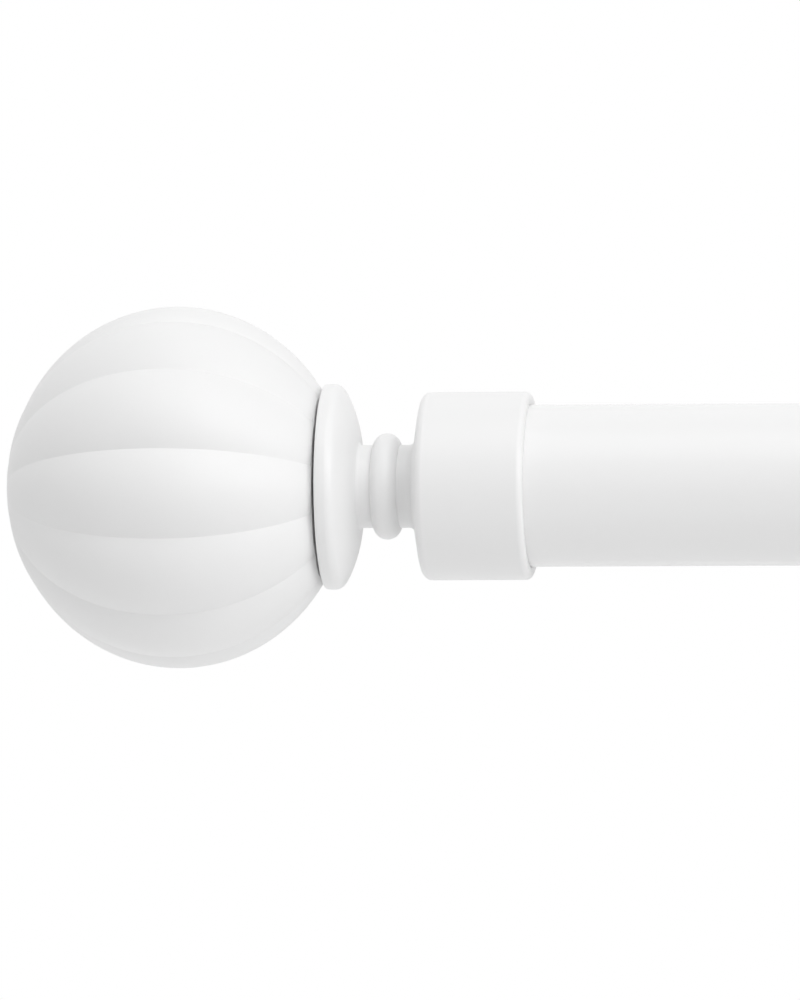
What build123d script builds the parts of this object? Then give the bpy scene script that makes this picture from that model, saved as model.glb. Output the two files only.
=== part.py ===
from build123d import *
import os
from math import cos, radians, sin, sqrt

# A telescopic curtain rod with a fluted ball finial on each end.
# The rod lies along X, pushed in, with its middle at the origin. All sizes are in millimetres.

# The two tubes
outer_tube_diameter = 25.4
outer_tube_wall = 0.8
inner_tube_wall = 0.8
tube_gap = 0.8
rod_travel = 508.0
hidden_room = 113.4

# Plastic guides between the tubes
bush_length = 45.0
bush_flange = 2.0
bush_overhang = 0.3
bush_rounding = 0.5
glide_length = 6.0
glide_spigot = 12.0
glide_bore_diameter = 15.0
glide_slots = 4
glide_slot_width = 2.0
glide_slot_depth = 4.5
stop_margin = 0.5
closing_gap = 2.0

# End cap, a cup with a short neck
cap_engagement = 13.3
cap_wall = 2.0
cap_floor = 3.6
cap_face_rise = 1.55
cap_shoulder_rounding = 1.3
cap_lip_rounding = 1.0
cap_lip_inner_rounding = 0.3
cap_lip_flat = 0.1
cap_neck_length = 2.3
cap_neck_rounding = 1.2
sleeve_recess = 0.6

# Finial base: bead, neck and saucer-shaped flange
neck_diameter = 13.0
bead_width = 4.2
bead_height = 1.85
base_neck_length = 2.3
base_neck_rounding = 0.6
flange_diameter = 32.3
flange_dome_depth = 2.85
flange_dome_bulge = 0.67
flange_rim_width = 2.45
flange_rim_crown = 0.11
flange_rim_rounding = 0.3
flange_edge_rounding = 1.8
land_diameter = 18.0
shadow_gap = 0.5

# Fluted ball
ball_diameter = 56.8
ball_length = 53.9
ball_seat_diameter = 30.1
lobe_count = 12
flute_depth = 1.25

# Hidden fastening: insert in the ball, stud, plug in the tube and nut in the plug
stud_diameter = 6.0
stud_chamfer = 0.6
stud_grip = 11.0
stud_past_nut = 1.0
insert_diameter = 8.5
insert_length = 12.0
insert_recess = 0.4
insert_groove_width = 2.0
insert_groove_depth = 0.35
nut_across_flats = 10.0
nut_thickness = 5.0
nut_chamfer = 0.5
nut_pocket_depth = 6.5
plug_depth = 21.0
plug_flange = 1.5
plug_flange_inset = 0.1
plug_rib_height = 0.5
plug_rib_width = 1.2
plug_rib_pairs = 3
plug_lead_in = 2.0

# Clearances, on the radius
slide_clearance = 0.15
seat_clearance = 0.05
cap_clearance = 0.05
stud_hole_clearance = 0.2
nut_clearance = 0.1

# Radii that follow from these
outer_radius = outer_tube_diameter / 2
outer_bore = outer_radius - outer_tube_wall
inner_radius = outer_bore - tube_gap
inner_bore = inner_radius - inner_tube_wall
cap_bore = outer_radius + cap_clearance
cap_radius = cap_bore + cap_wall
neck_radius = neck_diameter / 2
stud_radius = stud_diameter / 2
stud_hole = stud_radius + stud_hole_clearance
insert_radius = insert_diameter / 2

# Places along one end, measured outwards from the cut end of its tube
nut_seat_x = nut_pocket_depth - plug_depth
cap_face_x = plug_flange + cap_floor
neck_end_x = cap_face_x + cap_neck_length
dome_x = neck_end_x + bead_width + base_neck_length
rim_x = dome_x + flange_dome_depth
rim_end_x = rim_x + flange_rim_width
seat_x = rim_end_x + shadow_gap
seat_share = ball_seat_diameter / ball_diameter
ball_centre_x = seat_x + ball_length / 2 * sqrt(1 - seat_share**2)
insert_floor_x = seat_x + insert_recess + insert_length

# Places along the rod
closed_length = (plug_depth + hidden_room + glide_length + rod_travel + stop_margin
                 + bush_length + bush_flange + closing_gap + cap_engagement)
tube_end_x = closed_length / 2
mouth_x = tube_end_x - cap_engagement - closing_gap - bush_flange
inner_start_x = mouth_x - bush_length - stop_margin - rod_travel


def turned(*corners):
    """Solid turned about X; a corner is (x, radius) or (x, radius, rounding)."""
    points = [corner[:2] for corner in corners]
    roundings = [corner[2] if len(corner) > 2 else 0 for corner in corners]
    outline = FilletPolyline(*points, radius=roundings, close=True)
    return revolve(make_face(outline), Axis.X)


def sleeve(start_x, end_x, bore, radius):
    """Round tube along X, or a bar where the bore is 0."""
    return turned((start_x, bore), (start_x, radius), (end_x, radius), (end_x, bore))


def hexagon(start_x, end_x, across_flats):
    """Hexagonal bar along X."""
    outline = RegularPolygon(across_flats / 2, 6, major_radius=False)
    return extrude(Plane.YZ.offset(start_x) * outline, end_x - start_x)


def mouth_bush():
    """Guide bush in the mouth of the outer tube, with a flange over the cut edge."""
    bore = inner_radius + slide_clearance
    sleeve_radius = outer_bore - seat_clearance
    flange_radius = outer_radius + bush_overhang
    flange_end_x = mouth_x + bush_flange
    return turned(
        (mouth_x - bush_length, bore),
        (mouth_x - bush_length, sleeve_radius),
        (mouth_x, sleeve_radius),
        (mouth_x, flange_radius, bush_rounding),
        (flange_end_x, flange_radius, bush_rounding),
        (flange_end_x, bore),
    )


def glide_collar():
    """Slotted collar plugged into the hidden end of the inner tube; it stops against the bush."""
    bore = glide_bore_diameter / 2
    start_x = inner_start_x - glide_length
    end_x = inner_start_x + glide_spigot
    collar_radius = outer_bore - slide_clearance
    spigot_radius = inner_bore - seat_clearance
    collar = turned(
        (start_x, bore),
        (start_x, collar_radius),
        (inner_start_x, collar_radius),
        (inner_start_x, spigot_radius),
        (end_x, spigot_radius),
        (end_x, bore),
    )
    slot_align = (Align.MIN, Align.MIN, Align.CENTER)
    slot = Box(glide_slot_depth, outer_radius, glide_slot_width, align=slot_align)
    for number in range(glide_slots):
        collar -= Pos(X=start_x) * Rot(X=number * 360 / glide_slots) * slot
    return collar


def tube_plug(bore):
    """Plug for the end of a tube: ribbed shank, flange and a pocket for the nut."""
    rib_radius = bore - seat_clearance
    shank_radius = rib_radius - plug_rib_height
    flange_radius = outer_radius - plug_flange_inset
    plug = turned(
        (-plug_depth, 0),
        (-plug_depth, shank_radius),
        (0, shank_radius),
        (0, flange_radius),
        (plug_flange, flange_radius),
        (plug_flange, 0),
    )
    rib_length = plug_depth - plug_lead_in
    rib_pair = Box(rib_length, 2 * bore, plug_rib_width, align=(Align.MAX, Align.CENTER, Align.CENTER))
    rib_limit = sleeve(-rib_length, 0, 0, rib_radius)
    for number in range(plug_rib_pairs):
        plug += Rot(X=number * 180 / plug_rib_pairs) * rib_pair & rib_limit
    plug -= hexagon(-plug_depth, nut_seat_x, nut_across_flats + 2 * nut_clearance)
    return plug - sleeve(nut_seat_x, plug_flange, 0, stud_hole)


def plug_nut():
    """Hexagon nut pulled against the floor of the plug's pocket."""
    start_x = nut_seat_x - nut_thickness
    corner_radius = nut_across_flats / 2 / cos(radians(30))
    bore = stud_radius + seat_clearance
    barrel = turned(
        (start_x, bore),
        (start_x, corner_radius - nut_chamfer),
        (start_x + nut_chamfer, corner_radius),
        (nut_seat_x - nut_chamfer, corner_radius),
        (nut_seat_x, corner_radius - nut_chamfer),
        (nut_seat_x, bore),
    )
    return hexagon(start_x, nut_seat_x, nut_across_flats) & barrel


def end_cap():
    """Cup over the tube's end, with a slightly coned face and a short neck."""
    lip_x = -cap_engagement
    lip_rounding = min(cap_lip_rounding, cap_wall - cap_lip_inner_rounding - cap_lip_flat)
    return turned(
        (plug_flange, stud_hole),
        (neck_end_x, stud_hole),
        (neck_end_x, neck_radius),
        (cap_face_x, neck_radius, cap_neck_rounding),
        (cap_face_x - cap_face_rise, cap_radius, cap_shoulder_rounding),
        (lip_x, cap_radius, lip_rounding),
        (lip_x, cap_bore, cap_lip_inner_rounding),
        (plug_flange, cap_bore),
    )


def finial_base():
    """Bead, neck and saucer-shaped flange, with a raised land that carries the ball."""
    bead_end_x = neck_end_x + bead_width
    rim_radius = flange_diameter / 2 - flange_rim_crown
    land_radius = land_diameter / 2
    bead_start = (neck_end_x, neck_radius)
    bead_end = (bead_end_x, neck_radius)
    dome_start = (dome_x, neck_radius)
    rim_start = (rim_x, rim_radius)
    rim_end = (rim_end_x, rim_radius)
    outline = Curve() + [
        Line((neck_end_x, stud_hole), bead_start),
        SagittaArc(bead_start, bead_end, bead_height),
        Line(bead_end, dome_start),
        SagittaArc(dome_start, rim_start, flange_dome_bulge),
        SagittaArc(rim_start, rim_end, flange_rim_crown),
        Polyline(
            rim_end,
            (rim_end_x, land_radius),
            (seat_x, land_radius),
            (seat_x, stud_hole),
            (neck_end_x, stud_hole),
        ),
    ]
    section = make_face(outline)
    neck_corner = section.vertices().sort_by_distance(dome_start)[0]
    section = fillet(neck_corner, base_neck_rounding)
    flange_edge = section.vertices().sort_by_distance(rim_start)[0]
    section = fillet(flange_edge, flange_edge_rounding)
    rim_edge = section.vertices().sort_by_distance(rim_end)[0]
    return revolve(fillet(rim_edge, flange_rim_rounding), Axis.X)


def finial_stud():
    """Threaded stud from the nut in the tube to the insert in the ball."""
    start_x = nut_seat_x - nut_thickness - stud_past_nut
    end_x = seat_x + stud_grip
    return turned(
        (start_x, 0),
        (start_x, stud_radius - stud_chamfer),
        (start_x + stud_chamfer, stud_radius),
        (end_x - stud_chamfer, stud_radius),
        (end_x, stud_radius - stud_chamfer),
        (end_x, 0),
    )


def ball_insert():
    """Brass insert moulded into the ball, with a groove that keys it in the resin."""
    start_x = insert_floor_x - insert_length
    groove_radius = insert_radius - insert_groove_depth
    groove_start_x = (start_x + insert_floor_x - insert_groove_width) / 2
    groove_end_x = groove_start_x + insert_groove_width
    bore = stud_radius + seat_clearance
    return turned(
        (start_x, bore),
        (start_x, insert_radius),
        (groove_start_x, insert_radius),
        (groove_start_x, groove_radius),
        (groove_end_x, groove_radius),
        (groove_end_x, insert_radius),
        (insert_floor_x, insert_radius),
        (insert_floor_x, bore),
    )


def finial_ball():
    """Ball of round lobes with sharp flutes between them that fade towards the poles."""
    crest = ball_diameter / 2
    valley = crest - flute_depth
    half_lobe = radians(180 / lobe_count)
    # The crown of a lobe is the circle through its crest and the two flutes beside it.
    crown_centre = (crest**2 - valley**2) / (2 * (crest - valley * cos(half_lobe)))
    crown = crest - crown_centre
    wheel_outline = Curve() + [
        Polyline((-crown, crown_centre), (-crown, 0), (crown, 0), (crown, crown_centre)),
        ThreePointArc((crown, crown_centre), (0, crest), (-crown, crown_centre)),
    ]
    wheel = revolve(Plane.YZ * make_face(wheel_outline), Axis.Y)
    reach = ball_diameter
    slice_half_width = reach * sin(half_lobe)
    slice_height = reach * cos(half_lobe)
    slice_outline = Polyline(
        (0, 0),
        (slice_half_width, slice_height),
        (-slice_half_width, slice_height),
        close=True,
    )
    slice_wedge = extrude(Plane.YZ * make_face(slice_outline), ball_diameter, both=True)
    lobe = wheel & slice_wedge
    lobes = [Rot(X=number * 360 / lobe_count) * lobe for number in range(lobe_count)]
    ball = Pos(X=ball_centre_x) * scale(Part() + lobes, by=(ball_length / ball_diameter, 1, 1))
    ball -= sleeve(seat_x - ball_length, seat_x, 0, ball_diameter)
    return ball - sleeve(seat_x, insert_floor_x, 0, insert_radius + seat_clearance)


rod = {
    "outer_tube": sleeve(-tube_end_x, mouth_x, outer_bore, outer_radius),
    "inner_tube": sleeve(inner_start_x, tube_end_x, inner_bore, inner_radius),
    "mouth_bush": mouth_bush(),
    "glide_collar": glide_collar(),
    "adapter_sleeve": sleeve(
        tube_end_x - cap_engagement + sleeve_recess, tube_end_x, inner_radius + seat_clearance, outer_radius
    ),
}
finial = {
    "finial_ball": finial_ball(),
    "ball_insert": ball_insert(),
    "finial_base": finial_base(),
    "finial_stud": finial_stud(),
    "end_cap": end_cap(),
    "plug_nut": plug_nut(),
}
ends = {
    "left": (Pos(X=-tube_end_x) * Rot(Z=180), outer_bore),
    "right": (Pos(X=tube_end_x), inner_bore),
}

pieces = dict(rod)
for side, (place, bore) in ends.items():
    for name, solid in finial.items():
        pieces[f"{side}_{name}"] = place * solid
    pieces[f"{side}_tube_plug"] = place * tube_plug(bore)

os.makedirs("parts", exist_ok=True)
for node, solid in pieces.items():
    export_step(solid, f"parts/{node}.step")
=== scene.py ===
from math import asin, atan2, cos, pi, radians, sin, tan

import bmesh
import bpy
from mathutils import Matrix, Vector


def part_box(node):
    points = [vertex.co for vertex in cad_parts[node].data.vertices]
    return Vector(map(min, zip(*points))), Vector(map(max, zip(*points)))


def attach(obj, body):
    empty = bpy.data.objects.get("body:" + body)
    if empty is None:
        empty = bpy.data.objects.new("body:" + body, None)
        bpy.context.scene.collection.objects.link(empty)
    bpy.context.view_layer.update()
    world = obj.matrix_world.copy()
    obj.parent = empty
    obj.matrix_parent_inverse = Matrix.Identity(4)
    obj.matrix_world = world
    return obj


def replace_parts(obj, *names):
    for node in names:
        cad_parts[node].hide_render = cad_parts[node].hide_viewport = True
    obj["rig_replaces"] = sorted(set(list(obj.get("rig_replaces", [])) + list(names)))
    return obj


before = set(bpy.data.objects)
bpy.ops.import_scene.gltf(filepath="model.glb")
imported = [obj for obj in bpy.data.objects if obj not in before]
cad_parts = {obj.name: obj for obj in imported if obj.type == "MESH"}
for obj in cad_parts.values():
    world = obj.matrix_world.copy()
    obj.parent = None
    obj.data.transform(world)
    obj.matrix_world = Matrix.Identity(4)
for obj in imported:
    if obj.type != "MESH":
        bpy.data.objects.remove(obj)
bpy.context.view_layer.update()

# Outer tube: thin steel strip rolled and seam-welded into a one-inch tube, then coated white.
# Its left end is pressed onto a plug. The right end is the mouth that the inner tube slides out of.
MM = 0.001
outer_radius = 12.7 * MM
tube_wall = 0.8 * MM
cut_edge_rounding = 0.2 * MM
rounding_steps = 6
turn_steps = 144
turned_crease = radians(30)
weld_distance = 0.001 * MM


def start_outline(name, x, radius):
    """Starts a half outline in the XZ plane as a mesh of one vertex, and stays in edit mode."""
    bpy.ops.object.select_all(action="DESELECT")
    bpy.ops.mesh.primitive_plane_add(size=MM, location=(0, 0, 0))
    piece = bpy.context.object
    piece.name = name
    piece.data.name = name
    bpy.ops.object.mode_set(mode="EDIT")
    bpy.ops.mesh.merge(type="CENTER")
    bpy.ops.transform.translate(value=(x, 0, radius))
    return piece


def outline_end(piece):
    """Where the outline has got to, which is its one selected vertex."""
    return next(vertex.co.copy() for vertex in bmesh.from_edit_mesh(piece.data).verts if vertex.select)


def line_to(piece, *corners):
    """Extrudes the outline in straight lines from corner to corner, each an (x, radius)."""
    for x, radius in corners:
        run = Vector((x, 0, radius)) - outline_end(piece)
        bpy.ops.mesh.extrude_region_move(TRANSFORM_OT_translate={"value": run})


def close_outline():
    """Joins the outline's end to its start, where the two meet."""
    bpy.ops.mesh.select_all(action="SELECT")
    bpy.ops.mesh.remove_doubles(threshold=weld_distance)


def round_corner(piece, x, radius, rounding):
    """Bevels the closed outline's corner at (x, radius) into an arc that takes in nearby points."""
    place = Vector((x, 0, radius))
    vertices = bmesh.from_edit_mesh(piece.data).verts
    corner = min(vertices, key=lambda vertex: (vertex.co - place).length)
    sides = [edge.other_vert(corner).co - corner.co for edge in corner.link_edges]
    reach = rounding / tan(sides[0].angle(sides[1]) / 2)
    for vertex in vertices:
        vertex.select_set(vertex != corner and (vertex.co - corner.co).length < reach)
    bpy.ops.mesh.dissolve_verts()
    bpy.ops.mesh.select_all(action="DESELECT")
    vertices = bmesh.from_edit_mesh(piece.data).verts
    min(vertices, key=lambda vertex: (vertex.co - place).length).select_set(True)
    bpy.ops.mesh.bevel(offset=reach, segments=rounding_steps, affect="VERTICES")


def smooth(piece, crease_angle):
    """Smooths the surface apart from its creases, with its broad faces kept true."""
    bpy.ops.object.mode_set(mode="OBJECT")
    bpy.ops.object.shade_smooth_by_angle(angle=crease_angle)
    bpy.ops.object.modifier_add(type="WEIGHTED_NORMAL")
    piece.modifiers[-1].keep_sharp = True
    bpy.ops.object.modifier_apply(modifier=piece.modifiers[-1].name)


def turn_about_rod(piece):
    """Spins the outline once round the rod's axis into a closed, smooth piece."""
    bpy.ops.mesh.select_all(action="SELECT")
    bpy.ops.mesh.spin(steps=turn_steps, angle=2 * pi, center=(0, 0, 0), axis=(1, 0, 0))
    bpy.ops.mesh.select_all(action="SELECT")
    bpy.ops.mesh.remove_doubles(threshold=weld_distance)
    bpy.ops.mesh.normals_make_consistent(inside=False)
    smooth(piece, turned_crease)


def turned_sleeve(name, start_x, end_x, bore, radius, edge_rounding):
    """A plain round sleeve with its outer edges broken."""
    piece = start_outline(name, start_x, bore)
    line_to(piece, (start_x, radius), (end_x, radius), (end_x, bore), (start_x, bore))
    close_outline()
    round_corner(piece, start_x, radius, edge_rounding)
    round_corner(piece, end_x, radius, edge_rounding)
    turn_about_rod(piece)
    return piece


def fit(piece, body, node, finish):
    """Rides the piece on its body in place of its CAD node and its finish."""
    piece.data.materials.clear()
    piece.data.materials.append(finish)
    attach(piece, body)
    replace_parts(piece, node)


def linear(hex_colour):
    """Linear RGBA of an sRGB hex colour."""
    shares = [int(hex_colour[place:place + 2], 16) / 255 for place in (0, 2, 4)]
    return (*[s / 12.92 if s <= 0.04045 else ((s + 0.055) / 1.055) ** 2.4 for s in shares], 1)


def add_node(tree, kind, settings={}, values={}, links={}):
    """Adds a node with its settings, the values on its inputs, and links to them from other nodes."""
    node = tree.nodes.new(kind)
    for name, value in settings.items():
        setattr(node, name, value)
    for socket, value in values.items():
        node.inputs[socket].default_value = value
    for socket, output in links.items():
        tree.links.new(output, node.inputs[socket])
    return node


# Polyester powder baked on steel: a thick white gloss film that flows almost flat.
# It gives soft mirror-like edges to reflections, with a slight orange peel a few millimetres wide.
peel_width = 2.5 * MM
peel_depth = 0.012 * MM
film_cloud_width = 30 * MM
gloss_coat = bpy.data.materials.new("white_gloss_powder_coat_baked")
gloss_coat.use_nodes = True
gloss_tree = gloss_coat.node_tree
gloss_place = add_node(gloss_tree, "ShaderNodeTexCoord").outputs["Object"]
gloss_peel = add_node(
    gloss_tree, "ShaderNodeTexNoise", {},
    {"Scale": 1 / peel_width, "Detail": 1.0, "Roughness": 0.4}, {"Vector": gloss_place},
)
gloss_bump = add_node(
    gloss_tree, "ShaderNodeBump", {},
    {"Strength": 0.25, "Distance": peel_depth}, {"Height": gloss_peel.outputs["Fac"]},
)
gloss_film = add_node(
    gloss_tree, "ShaderNodeTexNoise", {},
    {"Scale": 1 / film_cloud_width, "Detail": 2.0, "Roughness": 0.5}, {"Vector": gloss_place},
)
gloss_colour = add_node(
    gloss_tree, "ShaderNodeMix", {"data_type": "RGBA"},
    {6: linear("EFEFEF"), 7: linear("F2F2F2")}, {"Factor": gloss_film.outputs["Fac"]},
)
gloss_sheen = add_node(
    gloss_tree, "ShaderNodeMapRange", {},
    {"To Min": 0.2, "To Max": 0.28}, {"Value": gloss_film.outputs["Fac"]},
)
gloss_shader = gloss_tree.nodes["Principled BSDF"]
gloss_shader.inputs["IOR"].default_value = 1.5
gloss_tree.links.new(gloss_colour.outputs[2], gloss_shader.inputs["Base Color"])
gloss_tree.links.new(gloss_sheen.outputs["Result"], gloss_shader.inputs["Roughness"])
gloss_tree.links.new(gloss_bump.outputs["Normal"], gloss_shader.inputs["Normal"])

outer_low, outer_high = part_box("outer_tube")
outer_bore = outer_radius - tube_wall
outer_tube = turned_sleeve(
    "coated_outer_tube", outer_low.x, outer_high.x, outer_bore, outer_radius, cut_edge_rounding
)
fit(outer_tube, "outer", "outer_tube", gloss_coat)

# Inner tube: the same coated steel, one size down, so that it slides in the outer tube.
# Its hidden end carries the glide collar, its right end the second finial.
tube_gap = 0.8 * MM
inner_radius = outer_bore - tube_gap
inner_low, inner_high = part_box("inner_tube")
inner_tube = turned_sleeve(
    "coated_inner_tube", inner_low.x, inner_high.x,
    inner_radius - tube_wall, inner_radius, cut_edge_rounding,
)
fit(inner_tube, "inner", "inner_tube", gloss_coat)

# Mouth bush: an injection-moulded nylon sleeve pushed into the outer tube's mouth.
# Its flange covers the cut edge of the steel and its bore guides the inner tube.
bush_flange = 2.0 * MM
bush_overhang = 0.3 * MM
bush_rounding = 0.5 * MM
slide_clearance = 0.15 * MM
seat_clearance = 0.05 * MM

# Natural white nylon as moulded: slightly warm, with a dull, faintly mottled skin.
nylon_flow_width = 6 * MM
nylon_grain_width = 0.4 * MM
nylon_grain_depth = 0.01 * MM
nylon = bpy.data.materials.new("white_nylon_moulded")
nylon.use_nodes = True
nylon_tree = nylon.node_tree
nylon_place = add_node(nylon_tree, "ShaderNodeTexCoord").outputs["Object"]
nylon_flow = add_node(
    nylon_tree, "ShaderNodeTexNoise", {},
    {"Scale": 1 / nylon_flow_width, "Detail": 3.0, "Distortion": 0.6}, {"Vector": nylon_place},
)
nylon_colour = add_node(
    nylon_tree, "ShaderNodeMix", {"data_type": "RGBA"},
    {6: linear("E4E3DE"), 7: linear("EBEAE6")}, {"Factor": nylon_flow.outputs["Fac"]},
)
nylon_grain = add_node(
    nylon_tree, "ShaderNodeTexNoise", {},
    {"Scale": 1 / nylon_grain_width, "Detail": 1.0}, {"Vector": nylon_place},
)
nylon_bump = add_node(
    nylon_tree, "ShaderNodeBump", {},
    {"Strength": 0.3, "Distance": nylon_grain_depth}, {"Height": nylon_grain.outputs["Fac"]},
)
nylon_dullness = add_node(
    nylon_tree, "ShaderNodeMapRange", {},
    {"To Min": 0.42, "To Max": 0.55}, {"Value": nylon_flow.outputs["Fac"]},
)
nylon_shader = nylon_tree.nodes["Principled BSDF"]
nylon_shader.inputs["IOR"].default_value = 1.53
nylon_tree.links.new(nylon_colour.outputs[2], nylon_shader.inputs["Base Color"])
nylon_tree.links.new(nylon_dullness.outputs["Result"], nylon_shader.inputs["Roughness"])
nylon_tree.links.new(nylon_bump.outputs["Normal"], nylon_shader.inputs["Normal"])

bush_low, bush_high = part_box("mouth_bush")
bush_bore = inner_radius + slide_clearance
bush_sleeve_radius = outer_bore - seat_clearance
bush_flange_radius = outer_radius + bush_overhang
bush_flange_x = bush_high.x - bush_flange
mouth_bush = start_outline("moulded_mouth_bush", bush_low.x, bush_bore)
line_to(
    mouth_bush,
    (bush_low.x, bush_sleeve_radius),
    (bush_flange_x, bush_sleeve_radius),
    (bush_flange_x, bush_flange_radius),
    (bush_high.x, bush_flange_radius),
    (bush_high.x, bush_bore),
    (bush_low.x, bush_bore),
)
close_outline()
round_corner(mouth_bush, bush_flange_x, bush_flange_radius, bush_rounding)
round_corner(mouth_bush, bush_high.x, bush_flange_radius, bush_rounding)
turn_about_rod(mouth_bush)
fit(mouth_bush, "outer", "mouth_bush", nylon)

# Adapter sleeve: a nylon ring on the right end of the inner tube.
# It makes up the difference in diameter, so that both ends take the same cap.
sleeve_rounding = 0.2 * MM
sleeve_low, sleeve_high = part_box("adapter_sleeve")
adapter_sleeve = turned_sleeve(
    "moulded_adapter_sleeve", sleeve_low.x, sleeve_high.x,
    inner_radius + seat_clearance, outer_radius, sleeve_rounding,
)
fit(adapter_sleeve, "inner", "adapter_sleeve", nylon)

# Glide collar and tube plugs: nylon mouldings that stay out of sight inside the tubes.
# The collar stops the inner tube from leaving the mouth, and each plug holds a nut.


def refinish(finish, *nodes):
    """Gives CAD nodes that keep their shape a finish of their own."""
    for node in nodes:
        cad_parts[node].data.materials.clear()
        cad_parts[node].data.materials.append(finish)


refinish(nylon, "glide_collar", "left_tube_plug", "right_tube_plug")

# Nuts and studs: M6 steel fasteners, zinc-plated, that pull each finial against its tube.
# The nut is trapped in the plug's pocket, and the stud runs from it into the ball.

# Bright zinc plate on steel: a cool grey metal, slightly cloudy from the passivation bath.
zinc_cloud_width = 2 * MM
zinc_plate = bpy.data.materials.new("bright_zinc_plate_passivated")
zinc_plate.use_nodes = True
zinc_tree = zinc_plate.node_tree
zinc_place = add_node(zinc_tree, "ShaderNodeTexCoord").outputs["Object"]
zinc_cloud = add_node(
    zinc_tree, "ShaderNodeTexNoise", {},
    {"Scale": 1 / zinc_cloud_width, "Detail": 4.0}, {"Vector": zinc_place},
)
zinc_colour = add_node(
    zinc_tree, "ShaderNodeMix", {"data_type": "RGBA"},
    {6: linear("B9BEC6"), 7: linear("CDCFCB")}, {"Factor": zinc_cloud.outputs["Fac"]},
)
zinc_dullness = add_node(
    zinc_tree, "ShaderNodeMapRange", {},
    {"To Min": 0.28, "To Max": 0.42}, {"Value": zinc_cloud.outputs["Fac"]},
)
zinc_shader = zinc_tree.nodes["Principled BSDF"]
zinc_shader.inputs["Metallic"].default_value = 1
zinc_tree.links.new(zinc_colour.outputs[2], zinc_shader.inputs["Base Color"])
zinc_tree.links.new(zinc_dullness.outputs["Result"], zinc_shader.inputs["Roughness"])

refinish(zinc_plate, "left_plug_nut", "right_plug_nut", "left_finial_stud", "right_finial_stud")

# End caps: zinc die-cast cups over the tube ends, coated white like the tubes.
# The closed face is slightly coned and carries a short neck, and the stud passes through it.
cap_bore = outer_radius + seat_clearance
cap_wall = 2.0 * MM
cap_radius = cap_bore + cap_wall
cap_floor = 3.6 * MM
cap_face_rise = 1.55 * MM
cap_shoulder_rounding = 1.3 * MM
cap_lip_rounding = 1.0 * MM
cap_lip_inner_rounding = 0.3 * MM
cap_neck_length = 2.3 * MM
cap_neck_rounding = 1.2 * MM
neck_radius = 6.5 * MM
stud_hole_radius = 3.2 * MM

# The castings' own powder coat, baked on zinc: the same orange peel as on the tubes, but a shade
# greyer and less glossy, which spreads the reflections more.
casting_coat = gloss_coat.copy()
casting_coat.name = "white_semi_gloss_powder_coat_baked"
casting_colour = casting_coat.node_tree.nodes[gloss_colour.name]
casting_colour.inputs[6].default_value = linear("EDEDED")
casting_colour.inputs[7].default_value = linear("F0F0F0")
casting_sheen = casting_coat.node_tree.nodes[gloss_sheen.name]
casting_sheen.inputs["To Min"].default_value = 0.28
casting_sheen.inputs["To Max"].default_value = 0.36


def fit_both_ends(right_piece, kind, finish):
    """Fits the piece to the rod's right end, and a copy turned end for end to its left."""
    fit(right_piece, "inner", f"right_{kind}", finish)
    bpy.ops.object.select_all(action="DESELECT")
    right_piece.select_set(True)
    bpy.ops.object.duplicate()
    left_piece = bpy.context.object
    left_piece.name = right_piece.name.replace("right", "left")
    left_piece.data.name = left_piece.name
    bpy.ops.transform.rotate(value=pi, orient_axis="Z", center_override=(0, 0, 0))
    bpy.ops.object.transform_apply(location=True, rotation=True, scale=True)
    # The copy still carries the mark of the node that the right piece stands for.
    del left_piece["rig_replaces"]
    fit(left_piece, "outer", f"left_{kind}", finish)


cap_low, cap_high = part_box("right_end_cap")
cap_face_x = cap_high.x - cap_neck_length
cap_shoulder_x = cap_face_x - cap_face_rise
cap_floor_x = cap_face_x - cap_floor
end_cap = start_outline("right_coated_end_cap", cap_floor_x, stud_hole_radius)
line_to(
    end_cap,
    (cap_high.x, stud_hole_radius),
    (cap_high.x, neck_radius),
    (cap_face_x, neck_radius),
    (cap_shoulder_x, cap_radius),
    (cap_low.x, cap_radius),
    (cap_low.x, cap_bore),
    (cap_floor_x, cap_bore),
    (cap_floor_x, stud_hole_radius),
)
close_outline()
round_corner(end_cap, cap_face_x, neck_radius, cap_neck_rounding)
round_corner(end_cap, cap_shoulder_x, cap_radius, cap_shoulder_rounding)
round_corner(end_cap, cap_low.x, cap_radius, cap_lip_rounding)
round_corner(end_cap, cap_low.x, cap_bore, cap_lip_inner_rounding)
turn_about_rod(end_cap)
fit_both_ends(end_cap, "end_cap", casting_coat)

# Finial bases: zinc die-castings, coated white, each a bead, a neck and a saucer-shaped flange.
# A low land on the flange carries the ball, which leaves a thin dark gap round the rim.
bead_width = 4.2 * MM
bead_height = 1.85 * MM
base_neck_length = 2.3 * MM
base_neck_rounding = 0.6 * MM
flange_radius = 16.15 * MM
flange_dome_depth = 2.85 * MM
flange_dome_bulge = 0.67 * MM
flange_rim_crown = 0.11 * MM
flange_rim_rounding = 0.3 * MM
flange_edge_rounding = 1.8 * MM
land_radius = 9.0 * MM
shadow_gap = 0.5 * MM
profile_arc_steps = 16


def arc_to(piece, x, radius, bulge, steps):
    """Spins the outline's end round to (x, radius), in an arc that bulges to the left of its way."""
    start = outline_end(piece)
    chord = Vector((x, 0, radius)) - start
    left = Vector((-chord.z, 0, chord.x)).normalized()
    arc_radius = (chord.length ** 2 / 4 + bulge ** 2) / (2 * bulge)
    centre = start + chord / 2 + left * (bulge - arc_radius)
    sweep = 2 * asin(chord.length / 2 / arc_radius)
    bpy.ops.mesh.spin(steps=steps, angle=-sweep, center=centre, axis=(0, 1, 0))


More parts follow.
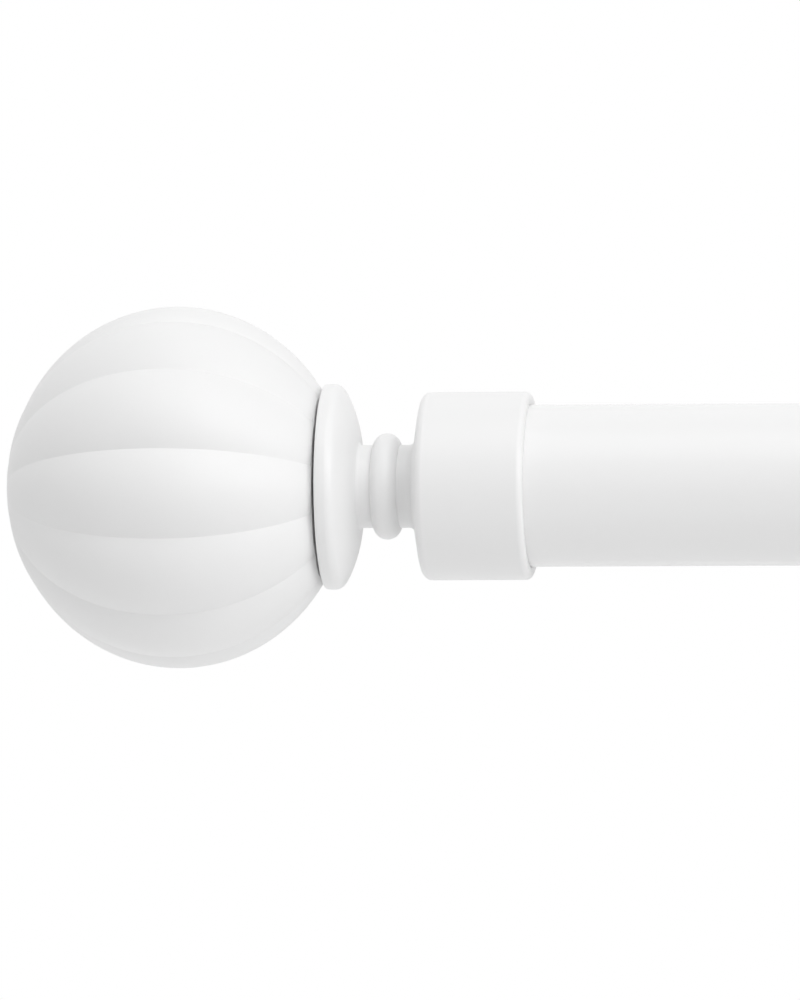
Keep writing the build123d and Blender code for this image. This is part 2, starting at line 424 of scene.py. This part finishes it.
base_low, base_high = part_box("right_finial_base")
bead_end_x = base_low.x + bead_width
dome_x = bead_end_x + base_neck_length
rim_x = dome_x + flange_dome_depth
rim_end_x = base_high.x - shadow_gap
rim_radius = flange_radius - flange_rim_crown
finial_base = start_outline("right_coated_finial_base", base_low.x, stud_hole_radius)
line_to(finial_base, (base_low.x, neck_radius))
arc_to(finial_base, bead_end_x, neck_radius, bead_height, profile_arc_steps)
line_to(finial_base, (dome_x, neck_radius))
arc_to(finial_base, rim_x, rim_radius, flange_dome_bulge, profile_arc_steps)
arc_to(finial_base, rim_end_x, rim_radius, flange_rim_crown, profile_arc_steps)
line_to(
    finial_base,
    (rim_end_x, land_radius),
    (base_high.x, land_radius),
    (base_high.x, stud_hole_radius),
    (base_low.x, stud_hole_radius),
)
close_outline()
round_corner(finial_base, dome_x, neck_radius, base_neck_rounding)
round_corner(finial_base, rim_x, rim_radius, flange_edge_rounding)
round_corner(finial_base, rim_end_x, rim_radius, flange_rim_rounding)
turn_about_rod(finial_base)
fit_both_ends(finial_base, "finial_base", casting_coat)

# Ball inserts: turned brass with a keying groove and an M6 thread.
# They are set in the mould, so that the resin closes round them.

# Free-machining brass as turned: a yellow metal with fine tool rings along its axis.
tool_ring_pitch = 0.15 * MM
tool_ring_depth = 0.01 * MM
wave_turns_per_scale = 20 / (2 * pi)
brass = bpy.data.materials.new("brass_turned")
brass.use_nodes = True
brass_tree = brass.node_tree
brass_place = add_node(brass_tree, "ShaderNodeTexCoord").outputs["Object"]
brass_rings = add_node(
    brass_tree, "ShaderNodeTexWave", {"bands_direction": "X"},
    {"Scale": 1 / (wave_turns_per_scale * tool_ring_pitch), "Distortion": 0.4, "Detail": 1.0},
    {"Vector": brass_place},
)
brass_colour = add_node(
    brass_tree, "ShaderNodeMix", {"data_type": "RGBA"},
    {6: linear("B8954E"), 7: linear("CFAE66")}, {"Factor": brass_rings.outputs["Fac"]},
)
brass_bump = add_node(
    brass_tree, "ShaderNodeBump", {},
    {"Strength": 0.4, "Distance": tool_ring_depth}, {"Height": brass_rings.outputs["Fac"]},
)
brass_shader = brass_tree.nodes["Principled BSDF"]
brass_shader.inputs["Metallic"].default_value = 1
brass_shader.inputs["Roughness"].default_value = 0.3
brass_tree.links.new(brass_colour.outputs[2], brass_shader.inputs["Base Color"])
brass_tree.links.new(brass_bump.outputs["Normal"], brass_shader.inputs["Normal"])

refinish(brass, "left_ball_insert", "right_ball_insert")

# Fluted balls: resin cast round the insert, rubbed down and sprayed satin white.
# Twelve round lobes meet in sharp flutes, which fade out towards the two poles.
ball_diameter = 56.8 * MM
ball_length = 53.9 * MM
lobe_count = 12
flute_depth = 1.25 * MM
insert_hole_radius = 4.3 * MM
insert_hole_depth = 12.4 * MM
lobe_columns = 36
lobe_rings = 120
lobe_overlap = 1.05
flute_crease = radians(5)
flute_weld = 0.04 * MM
cut_tolerance = 0.00001 * MM
insert_hole_sides = 64

# Satin white lacquer sprayed on resin: the same white as the coat, but duller.
# It spreads reflections into a soft sheen, over a fine stipple left by the spray gun.
stipple_width = 0.7 * MM
stipple_depth = 0.01 * MM
mottle_width = 12 * MM
satin_lacquer = bpy.data.materials.new("white_satin_lacquer_sprayed")
satin_lacquer.use_nodes = True
satin_tree = satin_lacquer.node_tree
satin_place = add_node(satin_tree, "ShaderNodeTexCoord").outputs["Object"]
satin_stipple = add_node(
    satin_tree, "ShaderNodeTexNoise", {},
    {"Scale": 1 / stipple_width, "Detail": 2.0}, {"Vector": satin_place},
)
satin_bump = add_node(
    satin_tree, "ShaderNodeBump", {},
    {"Strength": 0.2, "Distance": stipple_depth}, {"Height": satin_stipple.outputs["Fac"]},
)
satin_mottle = add_node(
    satin_tree, "ShaderNodeTexNoise", {},
    {"Scale": 1 / mottle_width, "Detail": 3.0}, {"Vector": satin_place},
)
satin_colour = add_node(
    satin_tree, "ShaderNodeMix", {"data_type": "RGBA"},
    {6: linear("EDEDED"), 7: linear("F0F0F0")}, {"Factor": satin_mottle.outputs["Fac"]},
)
satin_dullness = add_node(
    satin_tree, "ShaderNodeMapRange", {},
    {"To Min": 0.4, "To Max": 0.5}, {"Value": satin_mottle.outputs["Fac"]},
)
satin_shader = satin_tree.nodes["Principled BSDF"]
satin_shader.inputs["IOR"].default_value = 1.48
satin_tree.links.new(satin_colour.outputs[2], satin_shader.inputs["Base Color"])
satin_tree.links.new(satin_dullness.outputs["Result"], satin_shader.inputs["Roughness"])
satin_tree.links.new(satin_bump.outputs["Normal"], satin_shader.inputs["Normal"])

ball_low, ball_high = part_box("right_finial_ball")
ball_centre_x = ball_high.x - ball_length / 2
crest = ball_diameter / 2
valley = crest - flute_depth
half_lobe = pi / lobe_count
# The crown of a lobe is the circle through its crest and the two flutes beside it. Its arc reaches
# a little past the flutes, to be cut there.
crown_centre = (crest ** 2 - valley ** 2) / (2 * (crest - valley * cos(half_lobe)))
crown = crest - crown_centre
flute_angle = atan2(valley * sin(half_lobe), valley * cos(half_lobe) - crown_centre)
crown_reach = lobe_overlap * flute_angle
crown_edge_x = crown_centre + crown * cos(crown_reach)
crown_edge_z = crown * sin(crown_reach)
ball = start_outline("right_fluted_ball", crown_edge_x, crown_edge_z)
arc_to(ball, crown_edge_x, -crown_edge_z, crown - crown * cos(crown_reach), lobe_columns)
# The crown's arc is spun from pole to pole, cut along its flutes and copied round the axis.
bpy.ops.mesh.select_all(action="SELECT")
bpy.ops.mesh.spin(steps=lobe_rings, angle=-pi, center=(0, 0, 0), axis=(0, 0, 1))
for side in (1, -1):
    bpy.ops.mesh.select_all(action="SELECT")
    bpy.ops.mesh.bisect(
        plane_co=(0, 0, 0), plane_no=(0, -sin(half_lobe), side * cos(half_lobe)),
        clear_outer=True, threshold=cut_tolerance,
    )
bpy.ops.mesh.select_all(action="SELECT")
bpy.ops.mesh.spin(
    steps=lobe_count - 1, angle=2 * pi - 2 * half_lobe, dupli=True, center=(0, 0, 0), axis=(1, 0, 0)
)
bpy.ops.mesh.select_all(action="SELECT")
bpy.ops.mesh.remove_doubles(threshold=flute_weld)
bpy.ops.mesh.normals_make_consistent(inside=False)
bpy.ops.transform.resize(value=(ball_length / ball_diameter, 1, 1), center_override=(0, 0, 0))
bpy.ops.transform.translate(value=(ball_centre_x, 0, 0))
bpy.ops.mesh.bisect(
    plane_co=(ball_low.x, 0, 0), plane_no=(-1, 0, 0),
    clear_outer=True, use_fill=True, threshold=cut_tolerance,
)
bpy.ops.object.mode_set(mode="OBJECT")
# The insert's hole is bored into the flat seat, and faces of more than four sides become triangles.
bpy.ops.mesh.primitive_cylinder_add(
    vertices=insert_hole_sides, radius=insert_hole_radius, depth=2 * insert_hole_depth,
    location=(ball_low.x, 0, 0), rotation=(0, pi / 2, 0),
)
insert_drill = bpy.context.object
bpy.context.view_layer.objects.active = ball
bpy.ops.object.modifier_add(type="BOOLEAN")
ball.modifiers[-1].object = insert_drill
bpy.ops.object.modifier_apply(modifier=ball.modifiers[-1].name)
bpy.data.objects.remove(insert_drill)
ball.select_set(True)
bpy.ops.object.mode_set(mode="EDIT")
bpy.ops.mesh.select_mode(type="FACE")
bpy.ops.mesh.select_all(action="DESELECT")
bpy.ops.mesh.select_face_by_sides(number=4, type="GREATER")
bpy.ops.mesh.quads_convert_to_tris(ngon_method="BEAUTY")
bpy.ops.mesh.select_mode(type="VERT")
smooth(ball, flute_crease)
fit_both_ends(ball, "finial_ball", satin_lacquer)

# Studio: a plain pale floor under the rod, inside a white tent that is lit more on some sides.
# The floor keeps the rod's shadow, and further off it fades into the backdrop, which the camera sees
# as white and gloss a little dimmer. The tent's levels are those towards +X, +Y, +Z and -X, -Y, -Z.
floor_size = 20.0
floor_drop = 150 * MM
floor_fade_length = 1.7
floor_fade_width = 0.6
floor_fade_start = 0.5
backdrop_in_gloss = 0.72
tent_right_back_top = (0, 0.9, 0.72)
tent_left_front_under = (0.92, 0.64, 0)


def backdrop_share(tree):
    """Share of the white backdrop that a ray sees: all in view or through glass, less in gloss."""
    ray = add_node(tree, "ShaderNodeLightPath").outputs
    in_view = add_node(
        tree, "ShaderNodeMath", {"operation": "MAXIMUM"}, {},
        {0: ray["Is Camera Ray"], 1: ray["Is Transmission Ray"]},
    )
    in_gloss = add_node(
        tree, "ShaderNodeMath", {"operation": "MULTIPLY"}, {1: backdrop_in_gloss},
        {0: ray["Is Glossy Ray"]},
    )
    share = add_node(
        tree, "ShaderNodeMath", {"operation": "MAXIMUM"}, {},
        {0: in_view.outputs["Value"], 1: in_gloss.outputs["Value"]},
    )
    return share.outputs["Value"]


bpy.ops.mesh.primitive_plane_add(size=floor_size, location=(0, 0, 0))
floor = bpy.context.object
floor.name = "pale_floor"
bpy.ops.object.mode_set(mode="EDIT")
bpy.ops.transform.translate(value=(0, 0, -floor_drop))
bpy.ops.object.mode_set(mode="OBJECT")

# Matt white paint, rolled on: no shine at all, so that only the soft shadow shows on it.
floor_paint = bpy.data.materials.new("matt_white_floor_paint")
floor_paint.use_nodes = True
floor_tree = floor_paint.node_tree
floor_shader = floor_tree.nodes["Principled BSDF"]
floor_shader.inputs["Base Color"].default_value = linear("F6F6F6")
floor_shader.inputs["Roughness"].default_value = 1
floor_shader.inputs["Specular IOR Level"].default_value = 0
floor_oval = add_node(
    floor_tree, "ShaderNodeMapping", {},
    {"Scale": (1 / floor_fade_length, 1 / floor_fade_width, 0)},
    {"Vector": add_node(floor_tree, "ShaderNodeTexCoord").outputs["Object"]},
)
floor_reach = add_node(
    floor_tree, "ShaderNodeVectorMath", {"operation": "LENGTH"}, {},
    {0: floor_oval.outputs["Vector"]},
)
floor_fade = add_node(
    floor_tree, "ShaderNodeMapRange", {"interpolation_type": "SMOOTHSTEP"},
    {"From Min": floor_fade_start, "From Max": 1.0}, {"Value": floor_reach.outputs["Value"]},
)
floor_white = add_node(
    floor_tree, "ShaderNodeEmission", {},
    {"Color": linear("FFFFFF")}, {"Strength": backdrop_share(floor_tree)},
)
floor_mix = add_node(
    floor_tree, "ShaderNodeMixShader", {}, {},
    {
        0: floor_fade.outputs["Result"],
        1: floor_shader.outputs["BSDF"],
        2: floor_white.outputs["Emission"],
    },
)
floor_surface = floor_tree.nodes["Material Output"].inputs["Surface"]
floor_tree.links.new(floor_mix.outputs["Shader"], floor_surface)
floor.data.materials.append(floor_paint)

tent = bpy.data.worlds.new("white_studio_tent")
tent.use_nodes = True
tent_tree = tent.node_tree
tent_tree.nodes.clear()
tent_direction = add_node(tent_tree, "ShaderNodeTexCoord").outputs["Generated"]
tent_levels = []
for half_space, levels in (("MAXIMUM", tent_right_back_top), ("MINIMUM", tent_left_front_under)):
    towards = add_node(
        tent_tree, "ShaderNodeVectorMath", {"operation": half_space},
        {1: (0, 0, 0)}, {0: tent_direction},
    ).outputs["Vector"]
    shares = add_node(
        tent_tree, "ShaderNodeVectorMath", {"operation": "MULTIPLY"}, {},
        {0: towards, 1: towards},
    ).outputs["Vector"]
    tent_levels.append(add_node(
        tent_tree, "ShaderNodeVectorMath", {"operation": "DOT_PRODUCT"},
        {1: levels}, {0: shares},
    ).outputs["Value"])
tent_level = add_node(
    tent_tree, "ShaderNodeMath", {"operation": "ADD"}, {},
    {0: tent_levels[0], 1: tent_levels[1]},
)
tent_glow = add_node(
    tent_tree, "ShaderNodeBackground", {},
    {"Color": linear("FFFFFF")}, {"Strength": tent_level.outputs["Value"]},
)
tent_seen = add_node(
    tent_tree, "ShaderNodeBackground", {}, {"Color": linear("FFFFFF"), "Strength": 1}
)
tent_mix = add_node(
    tent_tree, "ShaderNodeMixShader", {}, {},
    {
        0: backdrop_share(tent_tree),
        1: tent_glow.outputs["Background"],
        2: tent_seen.outputs["Background"],
    },
)
add_node(tent_tree, "ShaderNodeOutputWorld", {}, {}, {"Surface": tent_mix.outputs["Shader"]})
bpy.context.scene.world = tent

# Lamps: broad soft lights, set so far off that they fall alike on the whole length of the rod.
# A lamp has its bearing from the front, its height angle and its strength.
lamp_spread = radians(42)
lamps = {
    "key_soft_light": (41.5, 26, 0.82),
    "high_right_soft_light": (50, 55.5, 0.36),
    "high_left_soft_light": (-4.6, 61.4, 0.31),
    "side_soft_light": (76.8, 8.9, 0.72),
}
for lamp_name, (bearing, height, strength) in lamps.items():
    bpy.ops.object.light_add(type="SUN")
    lamp = bpy.context.object
    lamp.name = lamp_name
    tilt = Matrix.Rotation(radians(90 - height), 4, "X")
    lamp.matrix_world = Matrix.Rotation(radians(bearing), 4, "Z") @ tilt
    lamp.data.angle = lamp_spread
    lamp.data.energy = strength

# Camera: a long lens level with the left finial, slightly to the right of it and above.
# The picture's middle lies inboard of the ball's centre and a little below the rod's axis.
camera_yaw = radians(7)
camera_elevation = radians(2)
camera_roll = radians(-0.53)
camera_distance = 2.5
picture_height = 156.8 * MM
aim_inboard = 35.01 * MM
aim_below = 2.14 * MM

picture_middle = Vector((aim_inboard - ball_centre_x, 0, -aim_below))
bpy.ops.object.camera_add()
camera = bpy.context.object
camera.name = "photograph_camera"
camera.data.lens = camera.data.sensor_width * camera_distance / picture_height
camera.matrix_world = (
    Matrix.Translation(picture_middle)
    @ Matrix.Rotation(camera_yaw, 4, "Z")
    @ Matrix.Rotation(pi / 2 - camera_elevation, 4, "X")
    @ Matrix.Rotation(camera_roll, 4, "Z")
    @ Matrix.Translation((0, 0, camera_distance))
)
bpy.context.scene.camera = camera
bpy.context.scene.view_settings.view_transform = "Standard"
